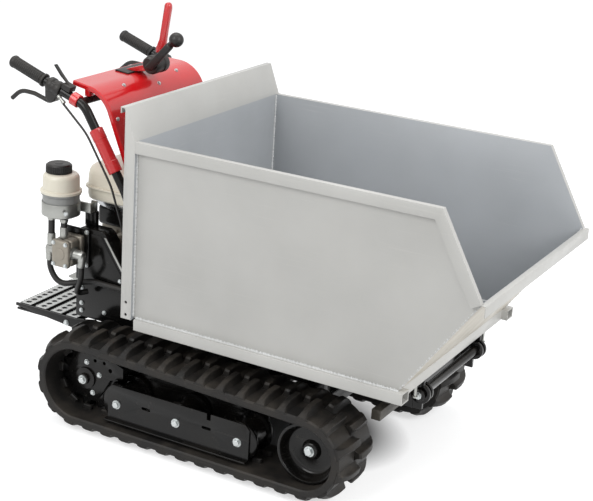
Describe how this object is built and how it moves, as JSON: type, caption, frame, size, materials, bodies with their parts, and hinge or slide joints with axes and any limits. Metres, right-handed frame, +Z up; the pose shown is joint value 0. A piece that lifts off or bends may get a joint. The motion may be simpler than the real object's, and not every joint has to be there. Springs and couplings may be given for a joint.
{
  "type": "tracked mini dumper",
  "caption": "Walk-behind mini dumper on rubber tracks with an open sheet-metal skip that a hydraulic cylinder tips forward, a rear engine, console and foot platform.",
  "frame": {"origin": "bottom centre of the bounding box, on the ground", "axes": "+X towards the tipping front, +Y to the driver's left, +Z up"},
  "size_m": [1.468, 0.79, 1.1084],
  "materials": {
    "silver_paint": "satin",
    "black_paint": "gloss",
    "red_paint": "gloss",
    "zinc": "satin",
    "rod_chrome": "polished",
    "track_rubber": "matte",
    "hose_rubber": "satin",
    "black_plastic": "matte",
    "cream_plastic": "gloss",
    "grey_plastic": "satin",
    "cast_alloy": "cast"
  },
  "bodies": {
    "chassis": {"chassis_frame": "black_paint", "front_beam": "silver_paint", "pivot_shaft": "zinc", "cylinder_anchor": "black_paint", "engine_deck": "zinc", "deck_side_plates": "black_paint", "belt_cover": "black_paint", "gearbox": "black_paint", "axle_housings": "black_paint", "engine_crankcase": "cast_alloy", "engine_cylinder": "cast_alloy", "engine_shroud": "black_plastic", "fuel_tank": "cream_plastic", "muffler": "zinc", "air_cleaner": "black_plastic", "reservoir_top": "cream_plastic", "reservoir_base": "grey_plastic", "reservoir_cap": "black_plastic", "reservoir_bracket": "zinc", "gear_pump": "cast_alloy", "pump_fittings": "zinc", "hydraulic_hoses": "hose_rubber", "platform_slats": "zinc", "platform_sides": "black_paint", "handle_tubes": "black_paint", "handle_sleeves": "red_paint", "handle_grips": "hose_rubber", "clutch_levers": "black_plastic", "throttle_lever": "black_plastic", "console_cover": "red_paint", "lever_bracket": "black_plastic", "drive_lever": "red_paint", "gear_lever": "black_plastic", "control_cables": "hose_rubber", "track_right": "track_rubber", "track_left": "track_rubber", "sprockets": "black_paint", "idlers": "black_paint", "rollers": "black_paint", "track_frames": "black_paint", "roller_guards": "black_paint"},
    "skip": {"skip_floor": "silver_paint", "skip_side_right": "silver_paint", "skip_side_left": "silver_paint", "skip_rear_wall": "silver_paint", "skip_rails": "silver_paint", "skip_cross_tubes": "silver_paint", "skip_hinge_lugs": "silver_paint", "skip_eye_bracket": "silver_paint"},
    "barrel": {"cylinder_barrel": "black_paint"},
    "rod": {"cylinder_rod": "rod_chrome"}
  },
  "joints": [
    {"name": "skip_tip", "type": "hinge", "parent": "chassis", "child": "skip", "pos_m": [0.523, 0, 0.285], "axis": [0, 1, 0], "range_deg": [0, 75]},
    {"name": "cylinder_swing", "type": "hinge", "parent": "chassis", "child": "barrel", "pos_m": [-0.072, 0, 0.13], "axis": [0, -1, 0], "range_deg": [0, 7.17]},
    {"name": "cylinder_extend", "type": "slide", "parent": "barrel", "child": "rod", "axis": [0.9368, 0, 0.3498], "range_m": [0, 0.1633]}
  ],
  "couplings": [
    {"joint": "cylinder_swing", "follows": "skip_tip", "ratio": 0.09548},
    {"joint": "cylinder_extend", "follows": "skip_tip", "m_per_rad": 0.12459}
  ]
}
